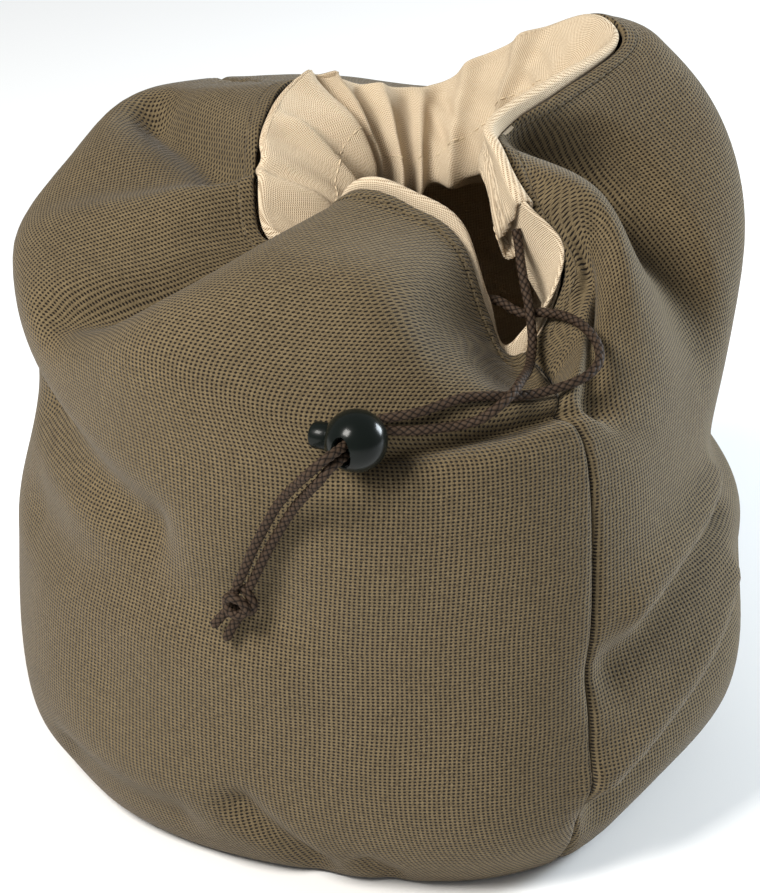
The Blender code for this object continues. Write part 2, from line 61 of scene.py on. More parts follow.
# Cord strands
# The drawcord is a soft round braid of dark brown yarn, eight carriers over a filled core. It leaves
# the two open ends of the casing, passes through the ball, and both strands run down to one knot.
MM = 0.001
CORD_RADIUS = 1.5 * MM
CORD_SIDES = 32
CORD_STEP = 0.3 * MM
PATH_STEP = 1.5 * MM
START_UP = (0.3, 0.2, 1.0)
BRAID_DEPTH = 0.32 * MM
BRAID_BUMP = 0.25 * MM
CARRIERS_EACH_WAY = 4
CARRIER_END_HEIGHT = 0.45
BRAID_PITCH = 2.6 * MM
MELTED_WIDTH = 0.92
MELTED_ROUND = 1.02
WELD = 1e-6
# Braid colour runs from painted shade between the yarns up to painted light on the yarn backs
BRAID_PAINTED_SHADE = (0.005, 0.003, 0.002)
BRAID_LIGHT = (0.062, 0.040, 0.026)
UPPER_STRAND = (
    (30.5, -50.8, 177.7),
    (32.6, -51.2, 178.5),
    (35.4, -53.2, 178.4),
    (38.6, -56.2, 177.5),
    (42.0, -58.4, 177.0),
    (47.0, -59.9, 178.2),
    (51.5, -62.6, 178.9),
    (56.3, -68.0, 179.4),
    (60.3, -73.9, 178.5),
    (62.8, -79.6, 176.4),
    (63.0, -84.2, 173.9),
    (60.4, -88.0, 171.7),
    (56.2, -90.6, 170.2),
    (50.5, -92.0, 168.6),
    (44.0, -94.4, 168.0),
    (37.0, -97.8, 168.8),
    (30.0, -101.0, 170.4),
    (22.6, -103.4, 171.0),
    (15.8, -106.6, 170.2),
    (9.5, -109.2, 169.2),
    (3.4, -110.4, 168.5),
    (-1.6, -110.9, 167.8),
    (-4.2, -112.9, 167.5),
    (-8.5, -120.4, 167.4),
    (-13.1, -128.4, 167.0),
    (-16.6, -132.0, 166.0),
    (-20.8, -131.8, 162.0),
    (-25.5, -127.2, 155.0),
    (-30.5, -122.0, 146.6),
    (-34.8, -118.6, 137.2),
    (-39.0, -116.1, 127.0),
    (-42.0, -114.2, 118.8),
    (-43.9, -113.1, 114.2),
)
LOWER_STRAND = (
    (39.5, -42.5, 198.0),
    (40.3, -44.5, 194.0),
    (40.9, -50.0, 190.0),
    (41.9, -56.0, 185.3),
    (43.0, -60.4, 180.9),
    (43.7, -64.0, 176.4),
    (44.0, -67.0, 172.6),
    (43.6, -71.5, 169.6),
    (42.3, -80.5, 169.2),
    (39.9, -92.4, 171.6),
    (36.9, -101.8, 171.8),
    (32.6, -106.2, 169.4),
    (27.0, -106.8, 165.6),
    (21.0, -107.4, 164.0),
    (14.5, -109.3, 164.0),
    (8.5, -110.7, 164.1),
    (3.0, -111.1, 164.2),
    (-1.5, -111.0, 164.3),
    (-4.2, -112.9, 164.2),
    (-8.5, -120.4, 163.9),
    (-13.1, -128.4, 163.5),
    (-15.7, -131.6, 162.6),
    (-18.9, -131.4, 158.4),
    (-22.4, -126.6, 152.0),
    (-26.4, -122.4, 144.9),
    (-29.6, -119.8, 138.2),
    (-32.4, -118.0, 132.3),
    (-35.6, -116.2, 125.0),
    (-38.4, -114.4, 117.8),
    (-40.2, -113.6, 113.8),
)


def hermite(places, values, at, period=None):
    """Cubic curves through values at places, read at the points at; closed if a period is given."""
    places = np.asarray(places, float)
    values = np.asarray(values, float)
    if period is not None:
        places = np.concatenate([places[-2:] - period, places, places[:3] + period])
        values = np.concatenate([values[-2:], values, values[:3]])
    shape = (-1, *[1] * (values.ndim - 1))
    steps = np.diff(places)
    slopes = np.diff(values, axis=0) / steps.reshape(shape)
    before, after = steps[:-1].reshape(shape), steps[1:].reshape(shape)
    middle = (slopes[:-1] * after + slopes[1:] * before) / (before + after)
    tangents = np.concatenate([slopes[:1], middle, slopes[-1:]])
    at = np.asarray(at, float)
    if period is not None:
        at = np.mod(at, period)
    i = np.clip(np.searchsorted(places, at, side="right") - 1, 0, len(steps) - 1)
    h = steps[i].reshape(shape)
    t = ((at - places[i]) / steps[i]).reshape(shape)
    return (
        (2 * t**3 - 3 * t**2 + 1) * values[i]
        + (t**3 - 2 * t**2 + t) * h * tangents[i]
        + (3 * t**2 - 2 * t**3) * values[i + 1]
        + (t**3 - t**2) * h * tangents[i + 1]
    )


def distances(points):
    """How far along its run each of a row of points lies."""
    return np.concatenate([[0.0], np.cumsum(np.linalg.norm(np.diff(points, axis=0), axis=1))])


def smooth_path(route, step):
    """Points in metres, about a step apart, on a smooth curve through a route in mm."""
    route = np.array(route, float) * MM
    places = distances(route)
    count = int(round(places[-1] / step)) + 1
    return hermite(places, route, np.linspace(0.0, places[-1], count))


def shaped_grid(points, lengths):
    """A bmesh grid laid through rows and columns of points, with a UV map of the lengths given."""
    rows, columns = points.shape[:2]
    body = bmesh.new()
    chart = body.loops.layers.uv.new("lengths")
    bmesh.ops.create_grid(body, x_segments=columns - 1, y_segments=rows - 1, size=1.0)
    body.verts.index_update()
    flat = np.array([vert.co[:2] for vert in body.verts])
    flat = (flat - flat.min(axis=0)) / np.ptp(flat, axis=0)
    places = np.rint(flat * (columns - 1, rows - 1)).astype(int)
    for vert, (column, row) in zip(body.verts, places):
        vert.co = points[row, column]
    for face in body.faces:
        for loop in face.loops:
            column, row = places[loop.vert.index]
            loop[chart].uv = lengths[row, column]
    return body


def close_shell(body):
    """Weld the seams of a bmesh, fill what is still open, and turn its faces outwards."""
    bmesh.ops.remove_doubles(body, verts=body.verts, dist=WELD)
    bmesh.ops.holes_fill(body, edges=[edge for edge in body.edges if edge.is_boundary])
    bmesh.ops.recalc_face_normals(body, faces=body.faces)


def mesh_object(name, body):
    """An object in the scene made from a bmesh, which it frees."""
    mesh = bpy.data.meshes.new(name)
    body.to_mesh(mesh)
    body.free()
    made = bpy.data.objects.new(name, mesh)
    bpy.context.scene.collection.objects.link(made)
    return made


def dressed(name, body, look, rides="bag"):
    """The finished piece made from a bmesh: smooth, with its material and body."""
    made = mesh_object(name, body)
    made.data.shade_smooth()
    made.data.materials.append(look)
    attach(made, rides)
    return made


def braid_height(turns, lengths):
    """The height, 0 to 1, of a braid's surface at shares of a turn and lengths along it."""
    right = CARRIERS_EACH_WAY * turns + lengths / BRAID_PITCH
    left = CARRIERS_EACH_WAY * turns - lengths / BRAID_PITCH
    over = np.mod(np.floor(right) + np.floor(left), 2.0)
    across = np.where(over > 0.5, np.mod(right, 1.0), np.mod(left, 1.0))
    along = np.where(over > 0.5, np.mod(left, 1.0), np.mod(right, 1.0))
    back = CARRIER_END_HEIGHT + (1 - CARRIER_END_HEIGHT) * np.sqrt(4 * along * (1 - along))
    return np.sqrt(4 * across * (1 - across)) * back


def braided_tube(name, route, look, melted=0.0):
    """A braided cord through a route in mm; its last end is rounded over the melted length."""
    path = smooth_path(route, CORD_STEP)
    along = distances(path)
    tangents = np.gradient(path, axis=0)
    tangents /= np.linalg.norm(tangents, axis=1, keepdims=True)
    side = np.cross(tangents[0], START_UP)
    sides = []
    for tangent in tangents:
        side = side - tangent * (side @ tangent)
        side /= np.linalg.norm(side)
        sides.append(side)
    sides = np.array(sides)
    others = np.cross(tangents, sides)
    turns, lengths = np.meshgrid(np.linspace(0.0, 1.0, CORD_SIDES + 1), along)
    radii = CORD_RADIUS - BRAID_DEPTH * (1.0 - braid_height(turns, lengths))
    if melted:
        left = np.clip((along[-1] - along) / melted, 0.0, 1.0)[:, None]
        radii = radii * left + MELTED_WIDTH * CORD_RADIUS * (1 - left)
        radii = radii * np.sqrt(MELTED_ROUND - (1 - left) ** 2)
    angle = 2 * math.pi * turns
    out = np.cos(angle)[..., None] * sides[:, None] + np.sin(angle)[..., None] * others[:, None]
    body = shaped_grid(path[:, None] + radii[..., None] * out, np.stack([turns, lengths], axis=2))
    close_shell(body)
    return dressed(name, body, look)


class Signal:
    """A node's output socket, on which Python's operators add Math nodes."""

    def __init__(self, finish, socket):
        self.finish = finish
        self.socket = socket

    def maths(self, operation, *values):
        settings = {"operation": operation}
        inputs = {place: value for place, value in enumerate((self, *values))}
        return self.finish.node("ShaderNodeMath", settings, inputs)

    def __add__(self, other):
        return self.maths("ADD", other)

    def __sub__(self, other):
        return self.maths("SUBTRACT", other)

    def __rsub__(self, other):
        return (self * -1.0) + other

    def __mul__(self, other):
        return self.maths("MULTIPLY", other)

    def __pow__(self, other):
        return self.maths("POWER", other)

    __radd__ = __add__


class Finish:
    """A material being put together; its constants go straight onto the Principled shader."""

    def __init__(self, name, **constants):
        self.material = bpy.data.materials.new(name)
        self.material.use_nodes = True
        self.tree = self.material.node_tree
        self.shader = self.tree.nodes["Principled BSDF"]
        for socket, value in constants.items():
            self.shader.inputs[socket.replace("_", " ")].default_value = value

    def node(self, kind, settings=None, inputs=None, output=0):
        """Add a node with its settings and the values or links of its sockets; gives one output."""
        made = self.tree.nodes.new(kind)
        for setting, value in (settings or {}).items():
            if setting == "stops":
                set_stops(made.color_ramp, value)
            else:
                setattr(made, setting, value)
        for place, value in (inputs or {}).items():
            if isinstance(value, Signal):
                self.tree.links.new(value.socket, made.inputs[place])
            else:
                made.inputs[place].default_value = value
        return Signal(self, made.outputs[output])

    def lengths(self):
        """The two parts of the piece's own UV map."""
        chart = self.node("ShaderNodeUVMap", {"uv_map": "lengths"})
        parts = self.node("ShaderNodeSeparateXYZ", inputs={0: chart})
        return parts, Signal(self, parts.socket.node.outputs[1])

    def place(self):
        """The point on the object, in metres."""
        return self.node("ShaderNodeTexCoord", output="Object")

    def noise(self, vector, scale, detail=2.0, roughness=0.5):
        """Soft noise about 0.5 at a vector."""
        inputs = {"Vector": vector, "Scale": scale, "Detail": detail, "Roughness": roughness}
        return self.node("ShaderNodeTexNoise", inputs=inputs)

    def vector(self, *parts):
        """Three values as one vector."""
        return self.node("ShaderNodeCombineXYZ", inputs=dict(enumerate(parts)))

    def ramp(self, value, *stops):
        """A value through a smooth ramp of (place, grey or colour) stops."""
        return self.node("ShaderNodeValToRGB", {"stops": stops}, {0: value})

    def mix(self, share, first, second):
        """The second colour over the first by a share."""
        colours = [c if isinstance(c, Signal) else (*c, 1.0) for c in (first, second)]
        inputs = {0: share, 6: colours[0], 7: colours[1]}
        return self.node("ShaderNodeMix", {"data_type": "RGBA"}, inputs, output=2)

    def shade(self, colour, strength):
        """A colour times a grey value."""
        whole = self.node("ShaderNodeCombineXYZ", inputs={0: strength, 1: strength, 2: strength})
        settings = {"operation": "MULTIPLY"}
        return self.node("ShaderNodeVectorMath", settings, {0: colour, 1: whole})

    def bump(self, height, distance, strength=1.0):
        """Feed a height to the shader's normal."""
        inputs = {"Height": height, "Distance": distance, "Strength": strength}
        self.feed("Normal", self.node("ShaderNodeBump", inputs=inputs))

    def feed(self, socket, value):
        """Link a value to a socket of the shader."""
        self.tree.links.new(value.socket, self.shader.inputs[socket])


def set_stops(ramp, stops):
    """Give a colour ramp its stops, each a place and a grey value or a colour."""
    ramp.interpolation = "EASE"
    while len(ramp.elements) < len(stops):
        ramp.elements.new(0.5)
    for element, (place, tone) in zip(ramp.elements, stops):
        element.position = place
        element.color = (*tone, 1.0) if isinstance(tone, tuple) else (tone, tone, tone, 1.0)


def yarn_crossing(first, second):
    """Which of two sets of slanted yarns lies on top: the yarns' places, over and under."""
    floors = first.maths("FLOOR") + second.maths("FLOOR")
    over = (floors * 0.5).maths("FRACT") * 2.0
    under = 1.0 - over
    across = over * first.maths("FRACT") + under * second.maths("FRACT")
    along = over * second.maths("FRACT") + under * first.maths("FRACT")
    return over, across, along


def hump(place):
    """A round hump over the width of a yarn, 0 at its edges and 1 on its back."""
    return (place * (1.0 - place) * 4.0).maths("MAXIMUM", 0.0) ** 0.5


def braid_finish(name):
    """Dark brown braid, stray pale fibres; painted light on yarn backs, painted shade between."""
    finish = Finish(name, Roughness=0.6, Specular_IOR_Level=0.12)
    turns, lengths = finish.lengths()
    right = turns * CARRIERS_EACH_WAY + lengths * (1 / BRAID_PITCH)
    left = turns * CARRIERS_EACH_WAY - lengths * (1 / BRAID_PITCH)
    over, across, along = yarn_crossing(right, left)
    height = hump(across) * (hump(along) * (1 - CARRIER_END_HEIGHT) + CARRIER_END_HEIGHT)
    fibres = finish.noise(finish.vector(across * 6.0, along * 1.2, lengths * 900.0), 1.0, 3.0)
    patch = finish.noise(finish.place(), 90.0)
    # By yarn height: painted light on the yarn backs, painted shade, nearly black, between them
    tone = finish.ramp(height * 0.8 + fibres * 0.35 - 0.12, (0.25, 0.0), (0.95, 1.0))
    colour = finish.mix(tone, BRAID_PAINTED_SHADE, BRAID_LIGHT)
    finish.feed("Base Color", finish.shade(colour, patch * 0.5 + 0.75))
    finish.bump(height + fibres * 0.3, BRAID_BUMP, 0.7)
    return finish.material


upper_look = braid_finish("upper_braid")
lower_look = braid_finish("lower_braid")
upper_cord = braided_tube("cord_upper_braid", UPPER_STRAND, upper_look)
lower_cord = braided_tube("cord_lower_braid", LOWER_STRAND, lower_look)
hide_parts("cord_upper")
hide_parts("cord_lower")

# Knot and free ends
# Both strands are tied together in one tight overhand knot, and the two short ends below it are cut
# and melted so that the braid can't open.
KNOT_CENTRE = (-43.0, -112.7, 108.2)
KNOT_LOOPS = (
    (0.8, 0.2, 5.6),
    (2.6, -1.0, 3.2),
    (4.0, -1.2, 0.2),
    (3.2, -0.4, -2.6),
    (0.2, 1.0, -3.2),
    (-2.8, 1.4, -1.2),
    (-3.9, -0.2, 1.4),
    (-2.2, -2.2, 2.8),
    (0.8, -2.8, 1.4),
    (1.8, -2.4, -1.4),
    (-0.6, -1.8, -3.4),
    (-3.0, -0.6, -2.8),
    (-3.8, 0.8, 0.4),
    (-1.6, 1.6, 2.6),
    (0.2, 0.6, 5.2),
)
UPPER_END = (
    (-45.2, -111.2, 106.4),
    (-46.5, -110.3, 104.6),
    (-49.1, -108.8, 100.8),
    (-51.6, -108.0, 97.2),
)
LOWER_END = (
    (-43.0, -111.4, 105.0),
    (-43.4, -110.8, 102.6),
    (-45.7, -110.0, 98.0),
    (-47.8, -109.7, 93.4),
)
MELTED = 1.6 * MM


def free_end(name, route, look):
    """A cut end of a strand with its melted tip."""
    return braided_tube(name, route, braid_finish(look), MELTED)


knot_route = np.array(KNOT_LOOPS) + KNOT_CENTRE
knot_look = braid_finish("knotted_braid")
knot = braided_tube("knot_of_both_strands", knot_route, knot_look)
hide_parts("cord_knot")
upper_end = free_end("cord_end_upper_braid", UPPER_END, "upper_end_braid")
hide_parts("cord_end_upper")
lower_end = free_end("cord_end_lower_braid", LOWER_END, "lower_end_braid")
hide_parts("cord_end_lower")

# Cord lock
# A ball of glossy black plastic, moulded in one piece, with an oval hole for the two strands. A
# sprung plunger in it, square to the hole, pinches them, and pressing its button lets them run.
BALL_RADIUS = 9.25 * MM
BALL_CENTRE = Vector((-8.5, -120.4, 165.7)) * MM
HOLE_AXIS = Vector((-0.493, -0.868, -0.056)).normalized()
HOLE_HALF_WIDTH = 2.4 * MM
HOLE_HALF_HEIGHT = 4.3 * MM
MOUTH_DEPTH = 2.6 * MM
MOUTH_OVERRUN = 1.0 * MM
MOUTH_FLARE = 1.5
PLUNGER_AXIS = Vector((-0.86, 0.4956, -0.1067)).normalized()
PLUNGER_RADIUS = 4.0 * MM
PLUNGER_INNER = 5.3 * MM
PLUNGER_TIP = 14.2 * MM
BORE_FLOOR = 2.0 * MM
BORE_CLEARANCE = 0.3 * MM
MOULDED_EDGE = 0.22 * MM
SHARP = math.radians(28.0)
FINE_WELD = 1e-7
ROUND_SIDES = 64
BALL_MERIDIANS = 96
BALL_RINGS = 64
BUTTON_EDGE = 1.1 * MM
DISH_RIM = 0.9 * MM
DISH_DEPTH = 0.35 * MM
BALL_ROUGHNESS = 0.2
BUTTON_ROUGHNESS = 0.3
SCUFF_DEPTH = 0.02 * MM
PLASTIC = (0.004, 0.006, 0.005)


def plastic_finish(name, roughness):
    """Black moulded plastic with faint handling marks that break up its gloss."""
    finish = Finish(name, Base_Color=(*PLASTIC, 1.0), Coat_Roughness=0.05, Specular_IOR_Level=0.14)
    scuffs = finish.noise(finish.place(), 420.0, 4.0, 0.65)
    film = finish.noise(finish.place(), 70.0, 2.0)
    finish.feed("Roughness", scuffs * 0.16 + film * 0.10 + (roughness - 0.12))
    finish.feed("Coat Weight", film * 0.12)
    finish.bump(scuffs, SCUFF_DEPTH, 0.6)
    return finish.material


def turned_to(axis, centre):
    """A placement with z along an axis, and x square to both the cord hole and the vertical."""
    way = Vector(axis).normalized()
    side = PLUNGER_AXIS - way * PLUNGER_AXIS.dot(way)
    if side.length < 0.1:
        side = Vector((0.0, 0.0, 1.0)) - way * way.z
    side.normalize()
    turn = Matrix((side, way.cross(side), way)).transposed().to_4x4()
    return Matrix.Translation(centre) @ turn


def cone_tool(name, axis, near, far, near_size, far_size):
    """A cutter for the ball: an oval or round cone from near to far along an axis, in metres."""
    body = bmesh.new()
    size = {"radius1": 1.0, "radius2": far_size[0] / near_size[0], "depth": far - near}
    bmesh.ops.create_cone(body, cap_ends=True, segments=ROUND_SIDES, **size)
    bmesh.ops.scale(body, verts=body.verts, vec=(*near_size, 1.0))
    bmesh.ops.translate(body, verts=body.verts, vec=(0.0, 0.0, (near + far) / 2))
    bmesh.ops.transform(body, verts=body.verts, matrix=turned_to(axis, BALL_CENTRE))
    bmesh.ops.recalc_face_normals(body, faces=body.faces)
    return mesh_object(name, body)


def cut_with(body, tools, edge):
    """A bmesh cut by each tool, with the new edges rounded by the edge width; the tools go."""
    blank = mesh_object("blank", body)
    for tool in tools:
        cut = blank.modifiers.new(tool.name, "BOOLEAN")
        cut.operation = "DIFFERENCE"
        cut.object = tool
    soft = blank.modifiers.new("moulded edge", "BEVEL")
    soft.width = edge
    soft.segments = 3
    soft.limit_method = "ANGLE"
    soft.angle_limit = SHARP
    result = bmesh.new()
    result.from_object(blank, bpy.context.evaluated_depsgraph_get())
    for made in (blank, *tools):
        bpy.data.objects.remove(made)
    bmesh.ops.remove_doubles(result, verts=result.verts, dist=FINE_WELD)
    return result


hole = (HOLE_HALF_WIDTH, HOLE_HALF_HEIGHT)
flared = (HOLE_HALF_WIDTH * MOUTH_FLARE, HOLE_HALF_HEIGHT * MOUTH_FLARE)
mouth = (BALL_RADIUS - MOUTH_DEPTH, BALL_RADIUS + MOUTH_OVERRUN)
bore = (PLUNGER_RADIUS + BORE_CLEARANCE, PLUNGER_RADIUS + BORE_CLEARANCE)
ball_tools = [
    cone_tool("hole", HOLE_AXIS, -2 * BALL_RADIUS, 2 * BALL_RADIUS, hole, hole),
    cone_tool("front mouth", HOLE_AXIS, *mouth, hole, flared),
    cone_tool("back mouth", -HOLE_AXIS, *mouth, hole, flared),
    cone_tool("bore", PLUNGER_AXIS, BORE_FLOOR, 2 * BALL_RADIUS, bore, bore),
]
sphere = bmesh.new()
ball_size = {"u_segments": BALL_MERIDIANS, "v_segments": BALL_RINGS, "radius": BALL_RADIUS}
bmesh.ops.create_uvsphere(sphere, **ball_size)
bmesh.ops.transform(sphere, verts=sphere.verts, matrix=turned_to(HOLE_AXIS, BALL_CENTRE))
ball_body = cut_with(sphere, ball_tools, MOULDED_EDGE)
ball_look = plastic_finish("ball_gloss", BALL_ROUGHNESS)
ball = dressed("cord_lock_ball", ball_body, ball_look)
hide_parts("lock_ball")

button = bmesh.new()
button_length = PLUNGER_TIP - PLUNGER_INNER
button_size = {"radius1": PLUNGER_RADIUS, "radius2": PLUNGER_RADIUS, "depth": button_length}
bmesh.ops.create_cone(button, cap_ends=True, segments=ROUND_SIDES, **button_size)
face_edges = [edge for edge in button.edges if all(vert.co.z > 0 for vert in edge.verts)]
rounded = {"offset": BUTTON_EDGE, "segments": 5, "profile": 0.5, "affect": "EDGES", "material": -1}
bmesh.ops.bevel(button, geom=face_edges, **rounded)
dish = [face for face in button.faces if face.normal.z > 0.9 and len(face.verts) > 8]
bmesh.ops.inset_region(button, faces=dish, thickness=DISH_RIM, depth=0.0)
bmesh.ops.inset_region(button, faces=dish, thickness=DISH_DEPTH, depth=-DISH_DEPTH)
bmesh.ops.translate(button, verts=button.verts, vec=(0.0, 0.0, (PLUNGER_INNER + PLUNGER_TIP) / 2))
bmesh.ops.transform(button, verts=button.verts, matrix=turned_to(PLUNGER_AXIS, BALL_CENTRE))
bmesh.ops.recalc_face_normals(button, faces=button.faces)
button_look = plastic_finish("button_satin", BUTTON_ROUGHNESS)
plunger = dressed("cord_lock_button", button, button_look, "plunger")
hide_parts("lock_plunger")

for strand, route, end, others in (
    (upper_cord, UPPER_STRAND, upper_end, [ball, plunger, knot]),
    (lower_cord, LOWER_STRAND, lower_end, []),
):
    run = smooth_path(route, PATH_STEP)

# Outer cloth
# Two panels of coarse olive brown plain weave, sewn to each other at both sides and to the base. The
# rim is turned in and stitched to a puffy hem, and the mouth lies in the folds of a drawn cord.
RING_PLACES = (-0.05, 0.0, 0.065, 0.31, 0.55, 0.67, 0.86, 1.0)
CORNER_RADIUS = 12.0
CORNER_HEIGHT = 13.0
BELLY_HEIGHT = 80.0

# azimuth, radius at the corner above the floor, at the belly, at the waist, height of the waist
WALL = (
    (31.0, 115.0, 122.0, 116.0, 152.0),
    (16.0, 115.0, 121.0, 117.0, 154.0),
    (-5.0, 109.0, 119.0, 117.0, 152.0),
    (-22.0, 108.0, 118.0, 117.0, 151.0),
    (-40.0, 111.0, 118.0, 116.0, 148.0),
    (-60.0, 114.0, 120.0, 114.0, 142.0),
    (-90.0, 114.0, 120.0, 112.0, 138.0),
    (-150.0, 112.0, 118.0, 113.0, 142.0),
    (-205.0, 112.0, 118.0, 113.0, 140.0),
    (-250.0, 113.0, 118.0, 110.0, 124.0),
    (-274.0, 112.0, 117.0, 106.0, 114.0),
    (-292.0, 108.0, 118.0, 107.0, 122.0),
    (-310.0, 108.0, 120.0, 110.0, 138.0),
)

# name, azimuth on the wall, shoulder x y z, crown x y z, rim x y z, foot of the casing x y z,
# stand of the casing past the rim
FOLDS = (
    ("side seam notch", 31.0, (53, -97, 165), (49, -74, 163), (42, -62, 167), (43, -69, 158), 4),
    ("notch left edge", 18.0, (30, -104, 164), (21, -87, 178), (31, -58, 176), (29, -66, 164), 6),
    ("front lobe", 4.0, (8, -108, 165), (5, -90, 196), (23, -52, 197), (20, -57, 177), 5),
    ("lobe crest", -14.0, (-22, -107, 167), (-17, -84, 202), (8, -47, 207), (8, -50, 182), 4),
    ("lobe ridge", -40.0, (-74, -84, 177), (-46, -64, 197), (-12, -38, 206), (-8, -40, 181), 3),
    ("front valley", -54.0, (-96, -58, 166), (-55, -40, 176), (-21, -25, 186), (-15, -27, 168), 2),
    ("left bulge", -70.0, (-110, -35, 170), (-68, -30, 184), (-38, -20, 186), (-22, -19, 169), 1),
    ("left roll", -84.0, (-117, -10, 176), (-68, -14, 197), (-41, -10, 201), (-21, -9, 184), 0),
    ("roll crease", -96.0, (-116, 8, 178), (-64, -1, 197), (-42, -3, 201), (-18, 0, 180), 0),
    ("collar valley", -110.0, (-106, 32, 184), (-67, 20, 204), (-39, 12, 210), (-16, 11, 186), -1),
    ("left lobe crest", -126.0, (-91, 60, 190), (-70, 48, 207), (-32, 34, 215), (-13, 26, 190), -1),
    ("back seam", -148.0, (-60, 90, 188), (-44, 62, 206), (-18, 44, 213), (-6, 35, 184), -1),
    ("back left dip", -170.0, (-20, 106, 184), (-10, 78, 200), (-4, 50, 207), (4, 39, 180), 1),
    ("back dip", -192.0, (24, 106, 182), (20, 82, 194), (18, 54, 203), (17, 40, 182), 5),
    ("back right", -214.0, (62, 92, 188), (46, 78, 211), (37, 50, 217), (32, 39, 184), 4),
    ("right peak", -242.0, (102, 54, 188), (76, 50, 230), (67, 34, 239), (44, 31, 191), 0),
    ("peak corner", -264.0, (115, 10, 178), (89, 22, 228), (73, 18, 233), (49, 18, 190), 1),
    ("right wall", -278.0, (109, -16, 160), (76, 3, 212), (53, -2, 226), (47, 3, 192), 4),
    ("right valley", -292.0, (98, -38, 150), (66, 2, 196), (36, -18, 220), (41, -9, 194), 5),
    ("right ridge", -306.0, (82, -66, 164), (65, -45, 209), (38, -30, 214), (41, -23, 196), 6),
    ("ridge foot", -314.0, (73, -80, 159), (61, -50, 201), (44, -42, 202), (43, -37, 187), 7),
    ("small valley", -320.0, (63, -90, 159), (62, -60, 188), (54, -50, 189), (50, -50, 176), 7),
    ("notch right edge", -325.0, (58, -94, 164), (57, -70, 176), (49, -57, 174), (47, -57, 165), 6),
)

# name, start azimuth and height share, end azimuth and height share, half width, depth
CREASES = (
    ("ledge under the lobe", (-4.0, 0.58), (29.0, 0.66), 9.0, 7.5),
    ("foot of the collar", (-96.0, 0.95), (-123.0, 0.83), 14.0, 13.0),
    ("hollow by the lobe", (-50.0, 0.90), (-62.0, 0.70), 11.0, 6.5),
    ("right valley hollow", (-291.0, 0.96), (-296.0, 0.80), 9.0, 7.0),
    ("small valley hollow", (-319.0, 0.90), (-321.0, 0.68), 7.0, 5.0),
    ("left overhang", (-76.0, 0.53), (-40.0, 0.45), 11.0, 10.0),
    ("left diagonal", (-72.0, 0.38), (-18.0, 0.39), 14.0, 5.0),
    ("right upper ridge", (70.0, 0.50), (40.0, 0.36), 8.0, -4.5),
    ("right upper diagonal", (72.0, 0.42), (36.0, 0.30), 10.0, 7.5),
    ("right lower ridge", (68.0, 0.30), (34.0, 0.17), 8.0, -4.5),
    ("right lower diagonal", (84.0, 0.24), (36.0, 0.11), 10.0, 7.5),
    ("front tuck", (-23.0, 0.14), (-12.0, 0.04), 6.0, 5.0),
    ("small front tuck", (-3.0, 0.06), (1.0, 0.03), 5.0, 3.0),
    ("left corner tuck", (-60.0, 0.10), (-36.0, 0.09), 9.0, 4.0),
    ("pocket by the rim", (55.0, 0.96), (51.0, 0.87), 9.0, 2.0),
    ("pocket below", (50.0, 0.84), (40.0, 0.81), 9.0, 3.0),
)

# What turns places on the wall into mm along the cloth
CREASE_GIRTH = 700.0
CLOTH_HEIGHT = 270.0

# Where the way inwards is read round each point of a coarse grid
SPREAD_ACROSS = (-0.045, -0.03, -0.015, 0.0, 0.015, 0.03, 0.045)
SPREAD_UP = (-0.06, -0.03, 0.0, 0.03, 0.06)
COARSE_ACROSS = 110
COARSE_UP = 36

# Seams, hem and yarns, in mm unless MM is named
BACK_SEAM = -148.0
SEAM_GAP = 0.3
SEAM_CURL = 1.6
SEAM_CURL_WIDTH = 3.0
SEAM_PUCKER = 0.45
SEAM_PUCKER_LENGTH = 6.5
SEAM_PUCKER_WIDTH = 12.0
HEM_WIDTH = 6.2
HEM_BLEND = 0.5
HEM_HALF_THICKNESS = 1.4
HEM_CENTRE = 0.45
HEM_PUCKER = 0.3
HEM_PUCKER_WIDTH = 9.0
PLAIN_HALF_THICKNESS = 0.6
SEAM_EDGE_ROUND = 0.8
FOOT_ROUND = 1.0
STITCH_GROOVE = 0.9
STITCH_GROOVE_WIDTH = 0.7
STITCH_GROOVE_IN_HEM = 0.9
STILL_ABOVE_FLOOR = 30.0
STILL_BY_SEAM = 4.0
PANEL_COLUMNS = 210
PANEL_EDGE = (0.0, 0.3, 0.7, 1.3, 2.1, 3.1)
PANEL_EDGE_WIDTH = 4.5
PANEL_ROWS = ((0.0, 0.955, 100), (0.9585, 1.0, 34))  # first and last height share, and number
FRONT_WEAVE_FROM = -58.0
BACK_WEAVE_FROM = -298.0
YARN_ACROSS = 1.47 * MM
YARN_UP = 1.13 * MM
YARN_LIGHT = (0.195, 0.146, 0.078)
YARN_DARK = (0.075, 0.054, 0.028)
# Painted shade in the holes between the yarns
YARN_GAP_SHADE = (0.008, 0.005, 0.003)
YARN_HEIGHT = 0.70
YARN_OVER = 0.30
YARN_UNDER = 0.22
PINHOLE_WIDTH = 0.72
WEAVE_BUMP = 0.35 * MM


def around(azimuth):
    """The share of the way round the bag, left from the side seam, of a wall azimuth in degrees."""
    return (FOLDS[0][1] - azimuth) / 360.0


FOLD_PLACES = [around(row[1]) for row in FOLDS]


def wall_rings(shares):
    """Under, foot, corner, belly and waist rings at shares of the way round, in mm."""
    stations = [around(row[0]) for row in WALL]
    corner, belly, waist, height = hermite(stations, [row[1:] for row in WALL], shares, 1.0).T
    angle = np.radians(FOLDS[0][1] - 360.0 * np.asarray(shares))
    out = np.stack([np.sin(angle), -np.cos(angle)], axis=1)

    def ring(radius, z):
        return np.column_stack([out * radius[:, None], np.broadcast_to(z, radius.shape)])

    return [
        ring(corner - 2 * CORNER_RADIUS, 0.0),
        ring(corner - CORNER_RADIUS, 0.0),
        ring(corner, CORNER_HEIGHT),
        ring(belly, BELLY_HEIGHT),
        ring(waist, height),
    ]


def fold_rings(*columns):
    """Rings through columns of the fold table, at the folds."""
    return [[row[k] for row in FOLDS] for k in columns]


